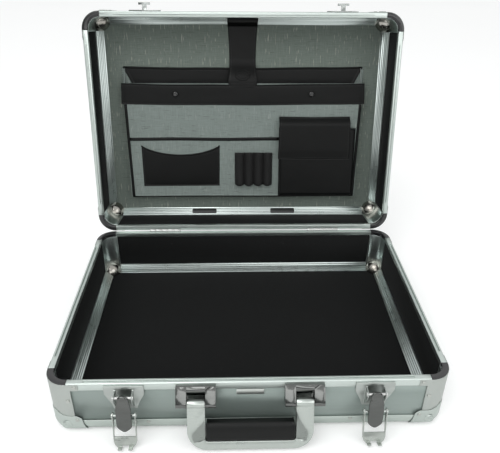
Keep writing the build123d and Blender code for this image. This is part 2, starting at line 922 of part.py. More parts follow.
def phone_pocket():
    t = sheet_thickness
    low = front_face
    top = front_face + phone_room
    front = lid_sheet(phone_left, phone_right, phone_low, phone_high, top, top + t)
    left = lid_sheet(phone_left, phone_left + t, phone_low, phone_high, low, top)
    right = lid_sheet(phone_right - t, phone_right, phone_low, phone_high, low, top)
    floor = lid_sheet(phone_left + t, phone_right - t, phone_low, phone_low + t, low, top)
    return [front, left, right, floor]


def phone_pocket_flap():
    t = sheet_thickness
    low = front_face + soft_gap
    top = front_face + phone_room + t + soft_gap
    outline = [
        (flap_high, low),
        (flap_high, low + t),
        (phone_high + 3, top + t),
        (flap_low, top + t),
        (flap_low, top),
        (phone_high + 2, top),
        (flap_high - 3, low),
    ]
    return lid_prism(outline, flap_left, flap_right)


def organizer_strap():
    t = sheet_thickness
    low = floor_height + soft_gap
    top = front_face + sheet_thickness + soft_gap
    lap = pocket_top + strap_lap
    outline = [
        (strap_high, low),
        (strap_high, low + t),
        (lap, top + t),
        (strap_low, top + t),
        (strap_low, top),
        (lap - 1, top),
        (strap_high - 3, low),
    ]
    strap = lid_prism(outline, strap_left, strap_right)
    end = strap.edges().filter_by(Axis.Z).group_by(Axis.Y)[-1]
    return fillet(end, 8)


def rivet_covers():
    """Rounded tabs that lie on the rear trim inside the lid."""
    middle = (trim_size + trim_thickness) / 2
    lift = cover_thickness / 2 + soft_gap
    inset = lining_inside + middle + lift * math.sqrt(0.5)
    z = floor_height + middle + lift * math.sqrt(0.5)
    tab = Box(cover_width, cover_height, cover_thickness)
    tab = fillet(tab.edges().filter_by(Axis.Z), 2.5)
    return both_sides(Pos(cover_x, half_depth - inset, z) * Rot(45, 0, 0) * tab)


# ---- moving lid pieces to where the open lid holds them


def flip_to_lid(piece):
    return Pos(0, 0, closed_height) * mirror(piece, about=Plane.XY)


def open_lid(piece):
    return piece.rotate(hinge_axis, lid_open_angle)


def in_lid(pieces):
    return [open_lid(flip_to_lid(piece)) for piece in pieces]


def as_list(pieces):
    return pieces if isinstance(pieces, list) else [pieces]


def write(name, pieces):
    solids = [solid for piece in as_list(pieces) for solid in piece.solids()]
    shape = solids[0] if len(solids) == 1 else Compound(children=solids)
    shape.label = name
    export_step(shape, "parts/" + name + ".step")
    print(name, len(solids), round(sum(solid.volume for solid in solids)))


def write_half(prefix, height, place):
    write(prefix + "_long_panels", place(long_panels(height)))
    write(prefix + "_short_panels", place(short_panels(height)))
    write(prefix + "_rim_corners", place(rim_corners(height)))
    write(prefix + "_edge_strips", place(all_edge_strips()))
    write(prefix + "_corner_posts", place(corner_posts(height)))
    write(prefix + "_corner_caps", place(corner_caps()))
    write(prefix + "_rivets", place(rivets(height)))
    write(prefix + "_floor_trims", place(floor_trims()))
    write(prefix + "_corner_trims", place(corner_trims(height)))
    write(prefix + "_inner_domes", place(inner_domes()))
    write(prefix + "_wall_lining", place(wall_lining(height)))
    write(prefix + "_spine_feet", place(spine_feet(height)))


def write_base():
    write_half("base", base_height, as_list)
    write("base_bottom_panel", large_board())
    write("base_floor_lining", floor_board())
    write("base_rim_front", rim_front(base_height) - mirror(groove(base_height, tongue_long), about=Plane.XZ))
    write("base_rim_rear", rim_rear(base_height))
    side = rim_short(base_height) - groove(base_height, tongue_short)
    write("base_rim_sides", both_sides(side))
    write("nameplate", nameplate())


def write_lid():
    write_half("lid", lid_height, in_lid)
    write("lid_top_panel", in_lid([large_board()]))
    write("lid_fabric_board", in_lid([floor_board()]))
    tongue = mirror(tongue_long(lid_height, 0), about=Plane.XZ)
    write("lid_rim_front", in_lid([rim_front(lid_height) + tongue]))
    write("lid_rim_rear", in_lid([rim_rear(lid_height)]))
    side = rim_short(lid_height) + tongue_short(lid_height, 0)
    write("lid_rim_sides", in_lid(both_sides(side)))
    write("lid_rivet_covers", in_lid(rivet_covers()))


def write_hinges():
    write("hinge_base_leaves", hinge_leaf(False))
    write("hinge_lid_leaves", [open_lid(leaf) for leaf in hinge_leaf(True)])


def write_latches():
    left = Pos(-latch_x, 0, 0)
    right = Pos(latch_x, 0, 0)
    write("latch_plates", [left * latch_plate(), right * latch_plate()])
    write("lid_catches", [open_lid(place * lid_catch()) for place in (left, right)])
    for name, place in (("left", left), ("right", right)):
        write(name + "_latch_lever", place * to_lever_rest(latch_lever()))
        write(name + "_hasp_pin", place * to_lever_rest(hasp_pin()))
        write(name + "_latch_hasp", place * to_hasp_rest(latch_hasp()))


def write_handle():
    places = [Pos(-handle_x, 0, 0), Pos(handle_x, 0, 0)]
    write("handle_brackets", [place * handle_bracket() for place in places])
    write("handle_frame", to_handle_rest(handle_frame()))
    write("handle_grip", to_handle_rest(handle_grip()))


def write_pins():
    """The pins that stay in the base, at the hinges, the latch levers and the handle."""
    pins = hinge_pins()
    for side in (-1, 1):
        pins.append(Pos(side * latch_x, 0, 0) * lever_pin())
        pins.append(Pos(side * handle_x, 0, 0) * handle_pin())
    write("pivot_pins", pins)


def write_organizer():
    write("file_pocket_back", in_lid([file_pocket_back()]))
    write("file_pocket_gussets", in_lid(file_pocket_gussets()))
    write("file_pocket_front", in_lid([file_pocket_front()]))
    write("pocket_binding", in_lid(pocket_binding()))
    write("pocket_snaps", in_lid(pocket_snaps()))
    write("card_pocket", in_lid([card_pocket()]))
    write("pen_loops", in_lid([pen_loops()]))
    write("phone_pocket", in_lid(phone_pocket()))
    write("phone_pocket_flap", in_lid([phone_pocket_flap()]))
    write("organizer_strap", in_lid([organizer_strap()]))


write_base()
write_lid()
write_hinges()
write_latches()
write_handle()
write_pins()
write_organizer()
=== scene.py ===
import json
import math

import bpy
from mathutils import Matrix, Vector


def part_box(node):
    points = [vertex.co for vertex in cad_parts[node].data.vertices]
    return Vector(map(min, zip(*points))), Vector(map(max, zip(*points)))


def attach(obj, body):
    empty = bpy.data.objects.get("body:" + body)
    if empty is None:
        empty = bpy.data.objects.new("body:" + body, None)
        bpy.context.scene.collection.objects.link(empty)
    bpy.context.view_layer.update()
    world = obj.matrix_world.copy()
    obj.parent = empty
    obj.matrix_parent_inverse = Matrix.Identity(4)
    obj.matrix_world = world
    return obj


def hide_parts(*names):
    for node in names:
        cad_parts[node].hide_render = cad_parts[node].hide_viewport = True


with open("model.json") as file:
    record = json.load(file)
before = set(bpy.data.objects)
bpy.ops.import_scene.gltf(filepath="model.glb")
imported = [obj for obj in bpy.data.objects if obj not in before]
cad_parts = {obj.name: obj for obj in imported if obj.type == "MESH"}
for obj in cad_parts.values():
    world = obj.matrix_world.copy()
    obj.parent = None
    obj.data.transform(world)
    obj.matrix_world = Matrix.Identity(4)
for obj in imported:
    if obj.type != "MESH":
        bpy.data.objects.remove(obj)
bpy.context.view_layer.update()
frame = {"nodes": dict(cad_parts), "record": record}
nodes = frame["nodes"]
record = frame["record"]
joints = {joint["name"]: joint for joint in record["behaviour"]["joints"]}
bodies = record["behaviour"]["bodies"]
body_of = {node: body for body, members in bodies.items() for node in members}
mm = 0.001

# ---------------------------------------------------------------- camera, light and floor


def place_camera():
    """Looks down into the open case from in front, slightly left of its middle."""
    data = bpy.data.cameras.new("camera")
    camera = bpy.data.objects.new("camera", data)
    bpy.context.collection.objects.link(camera)
    pitch, yaw, roll = math.radians(30.47), math.radians(2.09), math.radians(0.69)
    forward = Vector((math.sin(yaw) * math.cos(pitch), math.cos(yaw) * math.cos(pitch), -math.sin(pitch)))
    level = Vector((math.cos(yaw), -math.sin(yaw), 0))
    above = level.cross(forward)
    right = math.cos(roll) * level + math.sin(roll) * above
    up = -math.sin(roll) * level + math.cos(roll) * above
    turn = Matrix((right, up, -forward)).transposed().to_4x4()
    camera.matrix_world = Matrix.Translation((-0.019, -0.6105, 0.5365)) @ turn
    data.sensor_width = 36
    data.lens = 40.8
    data.clip_start = 0.01
    data.dof.use_dof = False
    bpy.context.scene.camera = camera


def area_light(name, place, aim, size, power, tint=(1, 1, 1)):
    data = bpy.data.lights.new(name, "AREA")
    data.shape = "RECTANGLE"
    data.size, data.size_y = size
    data.energy = power
    data.color = tint
    light = bpy.data.objects.new(name, data)
    bpy.context.collection.objects.link(light)
    light.location = place
    light.rotation_euler = (Vector(aim) - Vector(place)).to_track_quat("-Z", "Y").to_euler()


place_camera()

# ---------------------------------------------------------------- finishes


class Number:
    """A number that changes over a surface."""

    def __init__(self, finish, socket):
        self.finish = finish
        self.socket = socket

    def sum(self, operation, a, b=0.0, c=0.0):
        return self.finish.node("Math", {"operation": operation}, {0: a, 1: b, 2: c})

    def __add__(self, other):
        return self.sum("ADD", self, other)

    def __radd__(self, other):
        return self.sum("ADD", other, self)

    def __sub__(self, other):
        return self.sum("SUBTRACT", self, other)

    def __rsub__(self, other):
        return self.sum("SUBTRACT", other, self)

    def __mul__(self, other):
        return self.sum("MULTIPLY", self, other)

    def __rmul__(self, other):
        return self.sum("MULTIPLY", other, self)

    def __truediv__(self, other):
        return self.sum("DIVIDE", self, other)

    def __pow__(self, other):
        return self.sum("POWER", self, other)

    def __gt__(self, other):
        return self.sum("GREATER_THAN", self, other)

    def __lt__(self, other):
        return self.sum("LESS_THAN", self, other)

    def __abs__(self):
        return self.sum("ABSOLUTE", self)

    def wave(self):
        return self.sum("SINE", self)

    def clamp(self):
        return self.sum("MINIMUM", self.sum("MAXIMUM", self, 0.0), 1.0)


class Finish:
    """A material, with the short ways to build its maths."""

    def __init__(self, name, tree=None):
        if tree is None:
            self.material = bpy.data.materials.new(name)
            self.material.use_nodes = True
            tree = self.material.node_tree
        self.tree = tree
        self.shader = tree.nodes.get("Principled BSDF")

    def node(self, kind, settings=None, sockets=None, out=0):
        made = self.tree.nodes.new("ShaderNode" + kind)
        for name, value in (settings or {}).items():
            if name == "stops":
                ramp = made.color_ramp.elements
                while len(ramp) < len(value):
                    ramp.new(0.5)
                for element, (place, colour) in zip(ramp, value):
                    element.position = place
                    element.color = tuple(colour) + (1.0,) * (4 - len(colour))
            else:
                setattr(made, name, value)
        for name, value in (sockets or {}).items():
            self.join(value, made.inputs[name])
        return Number(self, made.outputs[out])

    def join(self, value, socket):
        if isinstance(value, Number):
            self.tree.links.new(value.socket, socket)
        else:
            socket.default_value = value

    def set(self, **sockets):
        for name, value in sockets.items():
            socket = self.shader.inputs[name.replace("_", " ")]
            if not isinstance(value, Number) and hasattr(socket.default_value, "__len__"):
                value = tuple(value) + (1.0,) * (len(socket.default_value) - len(value))
            self.join(value, socket)
        return self

    def place(self, lid=False, scale=(1, 1, 1)):
        """Coordinates in metres along the case's own width, depth and height; the lid's are turned back shut."""
        where = self.node("TexCoord", out=3)
        if lid:
            turned = {"rotation_type": "X_AXIS"}
            angle = -math.radians(joints["lid_hinge"]["range_deg"][0])
            centre = joints["lid_hinge"]["pos_m"]
            where = self.node("VectorRotate", turned, {"Vector": where, "Center": centre, "Angle": angle})
        return self.node("VectorMath", {"operation": "MULTIPLY"}, {0: where, 1: scale})

    def axes(self, where):
        made = self.tree.nodes.new("ShaderNodeSeparateXYZ")
        self.tree.links.new(where.socket, made.inputs[0])
        return [Number(self, out) for out in made.outputs]

    def noise(self, where, scale, detail=2.0, rough=0.5, stretch=None):
        if stretch:
            where = self.node("VectorMath", {"operation": "MULTIPLY"}, {0: where, 1: stretch})
        return self.node("TexNoise", {}, {"Vector": where, "Scale": scale, "Detail": detail,
            "Roughness": rough})

    def cells(self, where, scale, out=0, feature="F1"):
        return self.node("TexVoronoi", {"feature": feature}, {"Vector": where, "Scale": scale}, out)

    def remap(self, value, low, high, to_low=0.0, to_high=1.0):
        sockets = {"Value": value, "From Min": low, "From Max": high, "To Min": to_low, "To Max": to_high}
        return self.node("MapRange", {}, sockets)

    def mix(self, share, a, b):
        a = a if isinstance(a, Number) else tuple(a) + (1.0,)
        b = b if isinstance(b, Number) else tuple(b) + (1.0,)
        return self.node("Mix", {"data_type": "RGBA"}, {0: share, 6: a, 7: b}, out=2)

    def bump(self, height, distance, strength=1.0):
        sockets = {"Height": height, "Distance": distance, "Strength": strength}
        return self.node("Bump", {}, sockets)


def extrusion_lines(finish, where):
    """Fine draw lines: along X on the long pieces and along Y on the side pieces."""
    x, y, z = finish.axes(where)
    side = abs(x) > 0.2
    long_lines = finish.noise(where, 1.0, 3.0, 0.6, (3, 2600, 2600))
    side_lines = finish.noise(where, 1.0, 3.0, 0.6, (2600, 3, 2600))
    return long_lines * (1 - side) + side_lines * side


def drawn_aluminium(name, colour, rough, lid=False, lines=0.5):
    finish = Finish(name)
    where = finish.place(lid)
    streaks = extrusion_lines(finish, where)
    clouds = finish.noise(where, 14.0, 4.0, 0.6)
    smudge = finish.noise(where, 60.0, 3.0, 0.55)
    scuffs = finish.remap(finish.noise(where, 420.0, 2.0, 0.7), 0.66, 0.74)
    dark = tuple(c * 0.86 for c in colour)
    tone = finish.mix((0.35 * clouds + lines * (streaks - 0.35)).clamp(), colour, dark)
    tone = finish.mix(scuffs * 0.25, tone, tuple(min(1.0, c * 1.12) for c in colour))
    roughness = rough + 0.16 * (streaks - 0.5) + 0.12 * (smudge - 0.5)
    normal = finish.bump(streaks * lines + smudge * 0.1, 0.00006)
    finish.set(Base_Color=tone, Metallic=1.0, Roughness=roughness, Normal=normal)
    return finish.material


def laminate_panel(name, colour, lid=False):
    """A satin foil laminate with a fine brushed grain and a clear film over it."""
    finish = Finish(name)
    where = finish.place(lid)
    x, y, z = finish.axes(where)
    grain = extrusion_lines(finish, where)
    fleck = finish.noise(where, 900.0, 2.0, 0.7)
    clouds = finish.noise(where, 9.0, 3.0, 0.5)
    shade = (0.5 * clouds + 0.35 * grain + 0.15 * fleck).clamp()
    tone = finish.mix(shade, tuple(c * 1.14 for c in colour), tuple(c * 0.82 for c in colour))
    normal = finish.bump(grain * 0.5 + fleck * 0.5, 0.00004)
    finish.set(Base_Color=tone, Metallic=0.55, Roughness=0.3 + 0.18 * clouds, Normal=normal)
    finish.set(Coat_Weight=0.25, Coat_Roughness=0.22)
    return finish.material


def polished(name, colour, rough, lid=False, warm_edge=None):
    """Plated metal, with faint wiping marks and pits."""
    finish = Finish(name)
    where = finish.place(lid)
    wipe = finish.noise(where, 30.0, 5.0, 0.65, (1.0, 1.0, 5.0))
    hair = finish.remap(finish.noise(where, 1.0, 2.0, 0.6, (5200, 300, 900)), 0.62, 0.8)
    waves = finish.noise(where, 55.0, 1.5, 0.4)
    tone = finish.mix(finish.remap(wipe, 0.35, 0.75), colour, warm_edge or tuple(c * 0.85 for c in colour))
    normal = finish.bump(waves + hair * 0.05, 0.0012, 0.6)
    finish.set(Base_Color=tone, Metallic=1.0, Roughness=rough + 0.08 * wipe + 0.1 * hair, Normal=normal)
    return finish.material


def gloss_plastic(name, colour, rough=0.2, lid=False):
    finish = Finish(name)
    where = finish.place(lid)
    flow = finish.noise(where, 70.0, 3.0, 0.5)
    dust = finish.remap(finish.noise(where, 1500.0, 2.0, 0.6), 0.68, 0.76)
    tone = finish.mix(dust * 0.4, colour, (0.25, 0.25, 0.24))
    finish.set(Base_Color=tone, Roughness=rough + 0.12 * flow, Normal=finish.bump(flow, 0.0002))
    finish.set(Coat_Weight=0.4, Coat_Roughness=0.08)
    return finish.material


def woven(finish, where, across, thread):
    """Height of a plain weave of threads on the surface that the two named axes span."""
    axes = finish.axes(where)
    a = axes[across[0]] * (math.pi / thread)
    b = axes[across[1]] * (math.pi / thread)
    warp = abs(a.wave())
    weft = abs(b.wave())
    over = (a * 0.5).wave() * (b * 0.5).wave() > 0.0
    return over * warp + (1 - over) * weft


def linen(name, colour, lid=True, slub_light=0.5, slub_dark=0.5):
    """Slubbed linen: a plain weave with thick threads here and there, running both ways."""
    finish = Finish(name)
    where = finish.place(lid)
    weave = woven(finish, where, (0, 1), 0.00062)
    flat = finish.node("VectorMath", {"operation": "MULTIPLY"}, {0: where, 1: (1, 1, 0)})
    level = finish.remap(finish.noise(flat, 1.0, 2.0, 0.5, (55, 620, 1)), 0.63, 0.70)
    upright = finish.remap(finish.noise(flat, 1.0, 2.0, 0.5, (900, 90, 1)), 0.67, 0.75)
    pale = finish.remap(finish.noise(flat, 1.0, 1.0, 0.5, (520, 60, 1)), 0.65, 0.72)
    threads = finish.noise(flat, 1.0, 2.0, 0.7, (40, 1300, 1)) * 0.5 + finish.noise(flat, 1.0, 2.0, 0.7,
        (1300, 40, 1)) * 0.5
    clouds = finish.noise(flat, 7.0, 3.0, 0.5)
    tone = finish.mix(finish.remap(threads, 0.36, 0.64), tuple(c * 0.74 for c in colour),
        tuple(c * 1.22 for c in colour))
    tone = finish.mix(finish.remap(clouds, 0.3, 0.7) * 0.25, tone, tuple(c * 0.86 for c in colour))
    tone = finish.mix((level + upright * 0.6).clamp() * slub_dark, tone, tuple(c * 0.3 for c in colour))
    tone = finish.mix(pale * slub_light, tone, (0.62, 0.62, 0.55))
    tone = finish.mix(1 - weave * 0.3, tuple(c * 0.5 for c in colour), tone)
    height = weave * 0.5 + threads * 0.4 + level * 0.6 + upright * 0.5
    finish.set(Base_Color=tone, Roughness=0.88 - 0.1 * weave, Normal=finish.bump(height, 0.00025, 0.7))
    finish.set(Sheen_Weight=0.25, Sheen_Roughness=0.5)
    return finish.material


def ribbed_lining(name, colour, lid=False):
    """Black lining cloth with a close rib and a little lint."""
    finish = Finish(name)
    where = finish.place(lid)
    x, y, z = finish.axes(where)
    ribs = abs(((x + y) * (math.pi / 0.0011)).wave())
    picks = abs(((z + y - x) * (math.pi / 0.0009)).wave())
    nap = finish.noise(where, 1800.0, 2.0, 0.7)
    clouds = finish.noise(where, 12.0, 3.0, 0.5)
    lint = finish.remap(finish.noise(where, 700.0, 1.0, 0.5), 0.745, 0.79)
    shade = (0.45 * ribs + 0.25 * picks + 0.3 * nap).clamp()
    tone = finish.mix(shade, tuple(c * 0.5 for c in colour), tuple(c * 1.7 for c in colour))
    tone = finish.mix(clouds * 0.4, tone, tuple(c * 0.7 for c in colour))
    tone = finish.mix(lint * 0.25, tone, (0.2, 0.2, 0.2))
    height = ribs * 0.6 + picks * 0.3 + nap * 0.3
    finish.set(Base_Color=tone, Roughness=0.85, Normal=finish.bump(height, 0.0003, 0.6))
    finish.set(Sheen_Weight=0.02, Sheen_Roughness=0.4, Specular_IOR_Level=0.25)
    return finish.material


def leatherette(name, colour, rough=0.42, lid=True, grain=1400.0):
    """Black leathercloth: pebbled grain, soft creases and a dull sheen."""
    finish = Finish(name)
    where = finish.place(lid)
    pebbles = finish.cells(where, grain, feature="SMOOTH_F1")
    fine = finish.noise(where, 2600.0, 2.0, 0.6)
    creases = finish.noise(where, 1.0, 4.0, 0.6, (28, 60, 60))
    handled = finish.noise(where, 22.0, 3.0, 0.55)
    tone = finish.mix(pebbles * 0.6 + fine * 0.3, tuple(c * 1.5 for c in colour),
        tuple(c * 0.6 for c in colour))
    tone = finish.mix(finish.remap(handled, 0.5, 0.75) * 0.5, tone, tuple(c * 2.2 for c in colour))
    roughness = rough + 0.18 * (handled - 0.5) + 0.15 * pebbles
    normal = finish.bump(pebbles * -0.5 + fine * 0.15 + creases * 1.6, 0.0007, 0.4)
    finish.set(Base_Color=tone, Roughness=roughness, Normal=normal, Specular_IOR_Level=0.2)
    return finish.material


def elastic_cloth(name, colour, lid=True):
    finish = Finish(name)
    where = finish.place(lid)
    x, y, z = finish.axes(where)
    cords = abs((x * (math.pi / 0.0016)).wave())
    knit = abs((y * (math.pi / 0.0008)).wave())
    nap = finish.noise(where, 1500.0, 2.0, 0.6)
    tone = finish.mix((cords * 0.5 + knit * 0.3 + nap * 0.2).clamp(), tuple(c * 0.5 for c in colour),
        tuple(c * 1.6 for c in colour))
    finish.set(Base_Color=tone, Roughness=0.8, Normal=finish.bump(cords + knit * 0.5, 0.0004, 0.6))
    return finish.material


def soft_vinyl(name, colour, lid=False):
    finish = Finish(name)
    where = finish.place(lid)
    grain = finish.cells(where, 1900.0, feature="SMOOTH_F1")
    flow = finish.noise(where, 40.0, 3.0, 0.5)
    worn = finish.remap(finish.noise(where, 160.0, 4.0, 0.6), 0.58, 0.72)
    tone = finish.mix(worn * 0.3, colour, tuple(c * 2.4 for c in colour))
    finish.set(Specular_IOR_Level=0.25)
    finish.set(Base_Color=tone, Roughness=0.34 + 0.2 * flow, Normal=finish.bump(flow + grain * -0.06,
        0.0006, 0.4))
    return finish.material


def thread(name, colour, lid=True):
    finish = Finish(name)
    where = finish.place(lid)
    twist = finish.noise(where, 3000.0, 1.0, 0.5)
    tone = finish.mix(twist, tuple(c * 0.7 for c in colour), tuple(c * 1.4 for c in colour))
    finish.set(Base_Color=tone, Roughness=0.6, Normal=finish.bump(twist, 0.0001))
    return finish.material


panel_grey = (0.27, 0.32, 0.30)
finishes = {}


def finish_for(slot_name, lid):
    """The material of a slot, one for the base's pieces and one for those in the lid."""
    key = (slot_name, lid)
    if key in finishes:
        return finishes[key]
    name = slot_name + ("_in_lid" if lid else "")
    makers = {
        "panel": lambda: laminate_panel(name, panel_grey, lid),
        "rim_aluminium": lambda: drawn_aluminium(name, (0.60, 0.66, 0.63), 0.38, lid, 0.22),
        "corner_joint": lambda: gloss_plastic(name, (0.012, 0.012, 0.013), 0.16, lid),
        "strip_aluminium": lambda: drawn_aluminium(name, (0.52, 0.575, 0.54), 0.40, lid, 0.2),
        "post_aluminium": lambda: drawn_aluminium(name, (0.46, 0.49, 0.465), 0.42, lid, 0.1),
        "cap_metal": lambda: drawn_aluminium(name, (0.50, 0.55, 0.52), 0.36, lid, 0.08),
        "rivet_metal": lambda: polished(name, (0.5, 0.52, 0.49), 0.25, lid),
        "trim_aluminium": lambda: drawn_aluminium(name, (0.58, 0.64, 0.62), 0.30, lid, 0.12),
        "dome_nickel": lambda: polished(name, (0.40, 0.39, 0.36), 0.15, lid, (0.27, 0.25, 0.22)),
        "lining": lambda: ribbed_lining(name, (0.0030, 0.0034, 0.0034), lid),
        "foot_plastic": lambda: gloss_plastic(name, (0.014, 0.015, 0.015), 0.42, lid),
        "linen_board": lambda: linen(name, (0.150, 0.182, 0.158), lid, 0.4, 0.5),
        "hinge_steel": lambda: polished(name, (0.62, 0.62, 0.61), 0.25, lid),
        "bright_chrome": lambda: polished(name, (0.50, 0.53, 0.51), 0.10, lid),
        # dark_chrome is mirror chrome with its base colour lowered to 0.13: a painted dark reflection of the
        # surroundings
        "dark_chrome": lambda: polished(name, (0.13, 0.135, 0.13), 0.05, lid),
        "grip_rubber": lambda: soft_vinyl(name, (0.0025, 0.0030, 0.0028), lid),
        "linen": lambda: linen(name, (0.205, 0.245, 0.228), lid, 0.2, 0.7),
        "leatherette": lambda: leatherette(name, (0.0016, 0.0019, 0.0018), 0.34, lid),
        "elastic": lambda: elastic_cloth(name, (0.0018, 0.0018, 0.0018), lid),
        "stud_black": lambda: gloss_plastic(name, (0.01, 0.01, 0.01), 0.2, lid),
        "thread": lambda: thread(name, (0.02, 0.02, 0.02), lid),
    }
    finishes[key] = makers[slot_name]()
    return finishes[key]


slot_of = {part["node"]: part["material_slot"] for part in record["subparts"]}
edge_round = {"rim_aluminium": 0.5, "strip_aluminium": 0.35, "post_aluminium": 0.25, "cap_metal": 0.25,
              "bright_chrome": 0.7, "dark_chrome": 0.6, "corner_joint": 0.9, "panel": 0.3, "hinge_steel": 0.25,
              "foot_plastic": 0.6, "trim_aluminium": 0.2, "rivet_metal": 0.15, "dome_nickel": 0.25}


def in_lid(body):
    return body in ("lid", "pocket_flap", "strap")


def dress(node):
    """Gives a carried-over piece its finish, and rounds its edges a little."""
    piece = nodes[node]
    slot_name = slot_of[node]
    piece.data.materials.clear()
    piece.data.materials.append(finish_for(slot_name, in_lid(body_of[node])))
    weld = piece.modifiers.new("weld", "WELD")
    weld.merge_threshold = 0.00002
    bevel = piece.modifiers.new("rounded_edges", "BEVEL")
    bevel.width = edge_round.get(slot_name, 0.3) * mm
    bevel.segments = 2
    bevel.limit_method = "ANGLE"
    bevel.angle_limit = math.radians(38)
    bevel.harden_normals = True
    bevel.use_clamp_overlap = True
    for polygon in piece.data.polygons:
        polygon.use_smooth = True


for node in nodes:
    dress(node)


# ---------------------------------------------------------------- soft goods of the organizer

case_depth = 0.325
closed_height = 0.1433
hinge = Vector(joints["lid_hinge"]["pos_m"])
lid_turn = Matrix.Rotation(-math.radians(joints["lid_hinge"]["range_deg"][0]), 4, (-1, 0, 0))


def at_lid(x, along, out):
    """A point in the open lid: millimetres across, along from the hinge line, and in from the lid's outer face."""
    shut = Vector((x * mm, case_depth / 2 - along * mm, closed_height - out * mm))
    return hinge + lid_turn @ (shut - hinge)


def ease(t):
    t = max(0.0, min(1.0, t))
    return t * t * (3 - 2 * t)


def add_piece(name, vertices, faces, slot_name, body, finish_name=None):
    mesh = bpy.data.meshes.new(name)
    mesh.from_pydata(vertices, [], faces)
    mesh.validate()
    mesh.update()
    for polygon in mesh.polygons:
        polygon.use_smooth = True
    mesh.materials.append(finish_for(finish_name or slot_name, in_lid(body)))
    piece = bpy.data.objects.new(name, mesh)
    bpy.context.collection.objects.link(piece)
    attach(piece, body)
    return piece


def cloth(name, slot_name, low, high, under, over, columns, rows, body="lid", hem=0.5, finish_name=None):
    """A cloth piece with real thickness between two edges, each an (x, along) line at a share t of the width.

    under and over give the two faces' height out of the board at a point; hem rounds the edges down.
    """
    vertices, faces = [], []
    grid = []
    for j in range(rows + 1):
        for i in range(columns + 1):
            t, s = i / columns, j / rows
            (x0, a0), (x1, a1) = low(t), high(t)
            grid.append((t, s, x0 + (x1 - x0) * s, a0 + (a1 - a0) * s))
    wide = abs(low(1)[0] - low(0)[0])
    tall = max(abs(high(0.5)[1] - low(0.5)[1]), 1.0)
    for face in (under, over):
        for t, s, x, along in grid:
            near = min(min(t, 1 - t) * wide, min(s, 1 - s) * tall)
            roll = hem * (1 - ease(near / 1.6)) if face is over else 0.0
            vertices.append(at_lid(x, along, face(x, along) - roll))
    stride = columns + 1
    count = len(grid)
    for j in range(rows):
        for i in range(columns):
            a = j * stride + i
            quad = (a, a + 1, a + stride + 1, a + stride)
            faces.append(quad[::-1])
            faces.append(tuple(v + count for v in quad))
    rim = list(range(columns)) + [j * stride + columns for j in range(rows)]
    rim += [rows * stride + i for i in range(columns, 0, -1)] + [j * stride for j in range(rows, 0, -1)]
    for k, a in enumerate(rim):
        b = rim[(k + 1) % len(rim)]
        faces.append((b, a, a + count, b + count))
    piece = add_piece(name, vertices, faces, slot_name, body, finish_name)
    return piece


def edge(x0, a0, x1, a1, sag=0.0, wander=0.0):
    """A run between two points whose middle hangs lower by sag, and which wanders a little."""
    def at(t):
        slack = sag * 4 * t * (1 - t) + wander * math.sin(3.1 * t * math.pi) * math.sin(7.3 * t)
        return x0 + (x1 - x0) * t, a0 + (a1 - a0) * t - slack
    return at


def swell(x0, x1, a0, a1, base, rise, crease=0.0, phase=0.0):
    """A face that is held down at the edges and swells in the middle, with soft creases."""
    def out(x, along):
        t = (x - x0) / (x1 - x0)
        s = (along - a0) / (a1 - a0)
        held = max(0.0, 4 * t * (1 - t)) ** 0.5 * max(0.0, 4 * s * (1 - s)) ** 0.5
        wave = math.sin(6.3 * t + 3.1 * s + phase) + 0.7 * math.sin(13.0 * t - 5.0 * s + phase)
        return base + held * (rise + crease * wave)
    return out


def level(height):
    return lambda x, along: height


def stitched(name, points, face, body="lid", shade="thread", length=2.2, gap=1.0, thick=0.45):
    """Raised stitches along a row of (x, along) points that lie on a face."""
    vertices, faces = [], []
    profile = ((0.0, -0.12, 0.55), (0.22, 0.18, 1.0), (0.5, 0.26, 1.0), (0.78, 0.18, 1.0), (1.0, -0.12, 0.55))
    for (x0, a0), (x1, a1) in zip(points, points[1:]):
        span = math.hypot(x1 - x0, a1 - a0)
        if span < length:
            continue
        ux, ua = (x1 - x0) / span, (a1 - a0) / span
        for k in range(int((span + gap) / (length + gap))):
            step = k * (length + gap)
            first = len(vertices)
            for share, lift, wide in profile:
                for side, dip in ((-1, -0.18), (-0.45, 0.08), (0.45, 0.08), (1, -0.18)):
                    px = x0 + ux * (step + length * share) - ua * thick / 2 * side * wide
                    pa = a0 + ua * (step + length * share) + ux * thick / 2 * side * wide
                    vertices.append(at_lid(px, pa, face(px, pa) + lift + dip))
            for row in range(len(profile) - 1):
                for column in range(3):
                    a = first + row * 4 + column
                    faces.append((a, a + 1, a + 5, a + 4))
    return add_piece(name, vertices, faces, "leatherette", body, shade)


def cord_along(name, points, radius, slot_name, body="lid", flatten=0.6, finish_name=None):
    """A piped edge: a soft round bead that follows (x, along, out) points."""
    vertices, faces = [], []
    ring = 10
    count = len(points)
    for k, (x, along, out) in enumerate(points):
        before = points[max(0, k - 1)]
        after = points[min(count - 1, k + 1)]
        ux, ua = after[0] - before[0], after[1] - before[1]
        span = math.hypot(ux, ua) or 1.0
        nx, na = -ua / span, ux / span
        for step in range(ring):
            angle = 2 * math.pi * step / ring
            push = radius * math.cos(angle)
            lift = radius * flatten * math.sin(angle)
            vertices.append(at_lid(x + nx * push, along + na * push, out + lift))
    for k in range(count - 1):
        for step in range(ring):
            a = k * ring + step
            b = k * ring + (step + 1) % ring
            faces.append((a, b, b + ring, a + ring))
    faces.append(tuple(range(ring))[::-1])
    faces.append(tuple(range((count - 1) * ring, count * ring)))
    return add_piece(name, vertices, faces, slot_name, body, finish_name)


def run(x0, a0, x1, a1, out, steps=24, wander=0.0, phase=0.0):
    points = []
    for k in range(steps + 1):
        t = k / steps
        drift = wander * math.sin(math.pi * t) * math.sin(7 * t + phase)
        points.append((x0 + (x1 - x0) * t, a0 + (a1 - a0) * t + drift, out))
    return points


